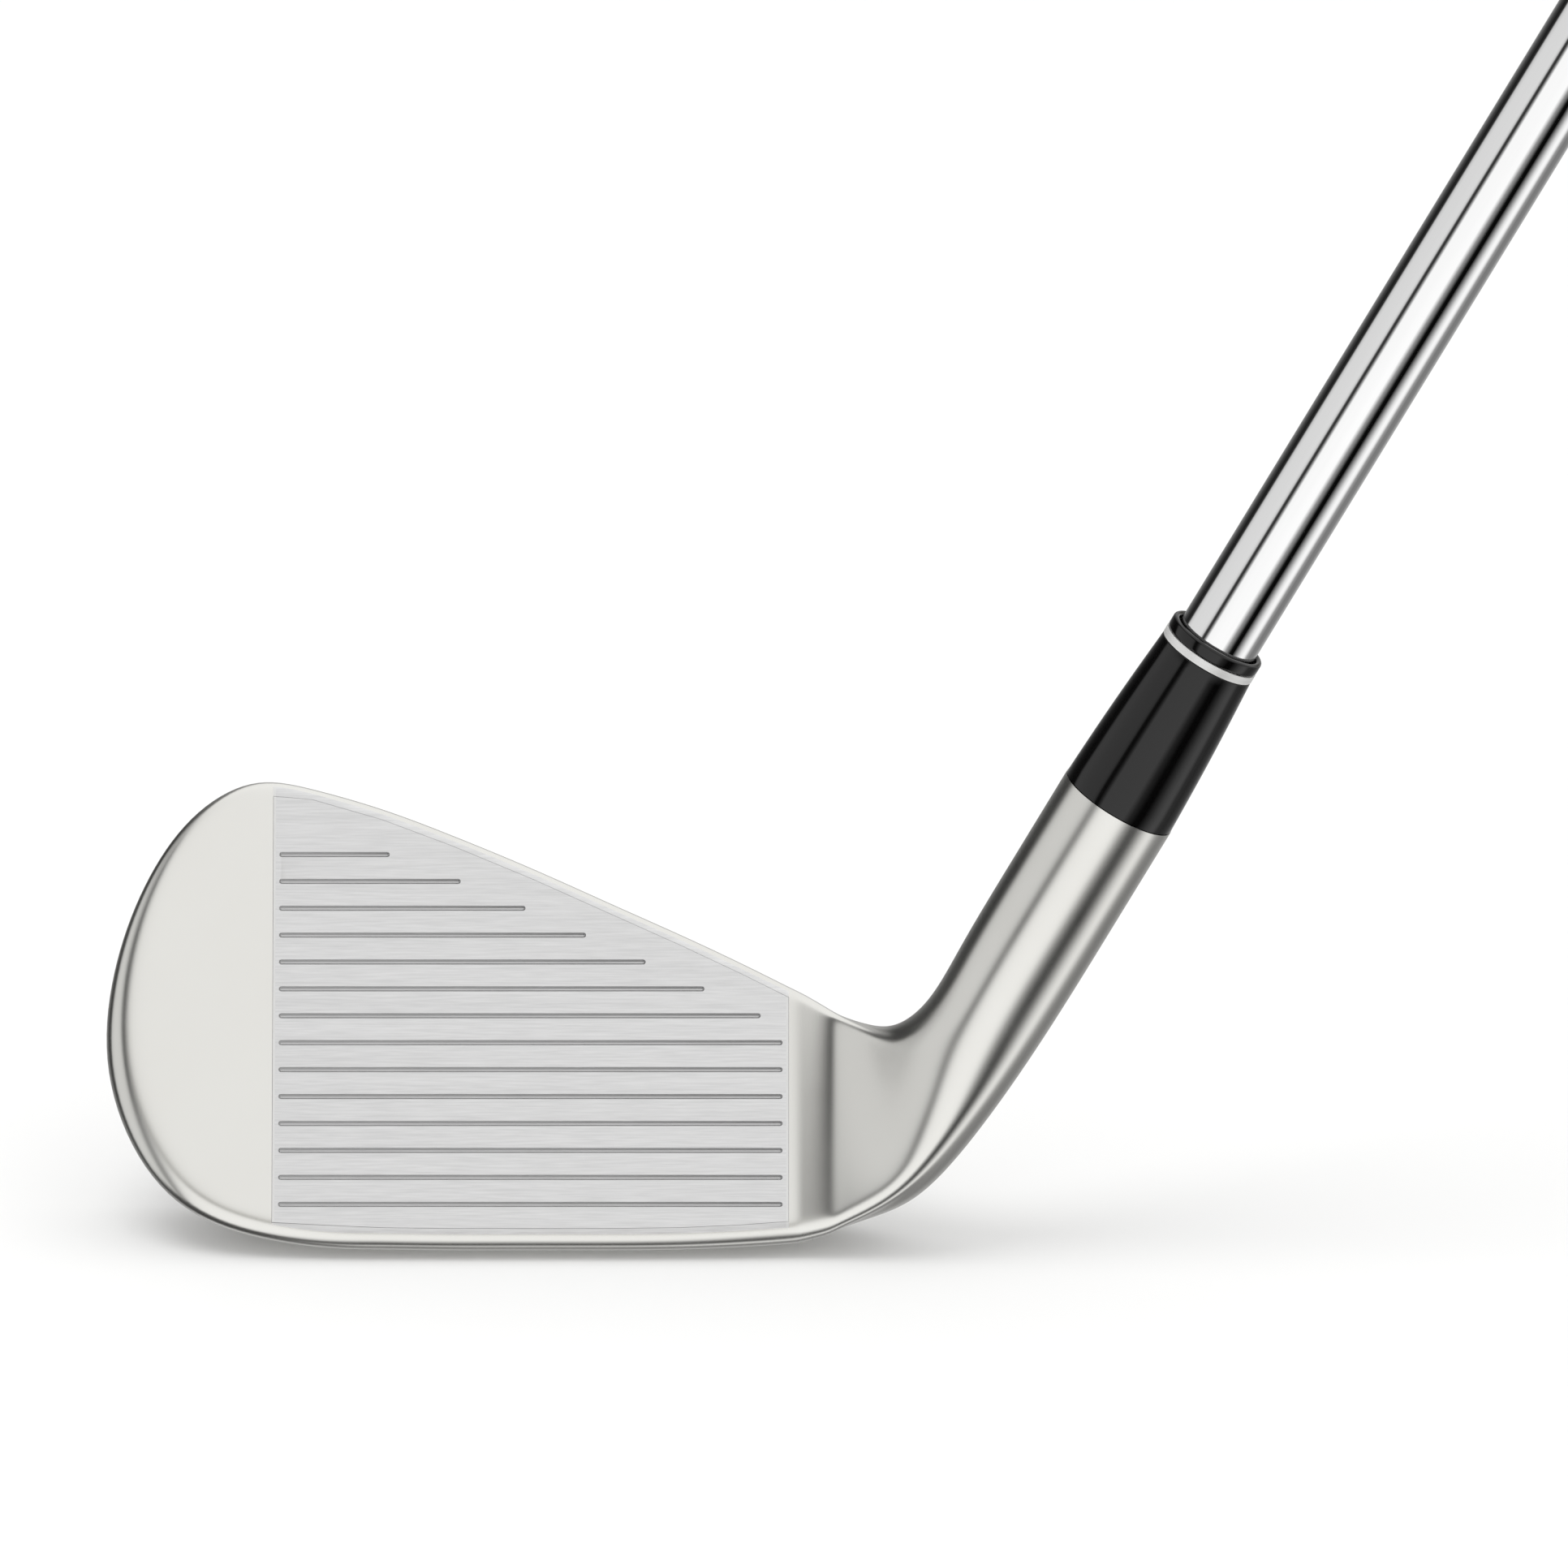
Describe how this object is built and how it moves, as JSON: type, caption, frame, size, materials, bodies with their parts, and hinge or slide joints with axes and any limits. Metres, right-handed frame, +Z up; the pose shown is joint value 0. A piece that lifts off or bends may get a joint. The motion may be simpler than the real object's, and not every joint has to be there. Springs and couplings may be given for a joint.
{
  "type": "iron golf club",
  "caption": "Right-handed cavity-back iron with a milled face insert, tapered ferrule, stepped steel shaft and rubber grip.",
  "frame": {"origin": "where the middle of the sole touches the ground at address, under the centre of the face", "axes": "+X from toe to heel, -Y is the way the face looks, +Z up; the shaft rises at 60 degrees towards +X"},
  "size_m": [0.5653, 0.0422, 0.8204],
  "materials": {
    "satin_chrome": "satin chrome plate on forged steel",
    "milled_steel": "fine horizontal milling, light grey",
    "mirror_chrome": "mirror chrome",
    "gloss_black": "gloss",
    "trim_silver": "satin",
    "grip_rubber": "moulded, matt",
    "damper_polymer": "matt",
    "tape": "matt paper tape",
    "epoxy": "cured adhesive",
    "badge_metal": "brushed, dark anodised",
    "brass": "turned",
    "cork": "raw"
  },
  "bodies": {
    "root": {"head_body": "satin_chrome", "face_plate": "milled_steel", "cavity_damper": "damper_polymer", "badge_tape": "tape", "back_badge": "badge_metal", "hosel_epoxy": "epoxy", "tip_weight_pin": "brass", "tip_plug": "cork", "ferrule_body": "gloss_black", "ferrule_trim_ring": "trim_silver", "ferrule_top_ring": "gloss_black", "shaft": "mirror_chrome", "shaft_band": "trim_silver", "grip_tape": "tape", "grip_sleeve": "grip_rubber", "grip_cap": "grip_rubber"}
  },
  "joints": []
}
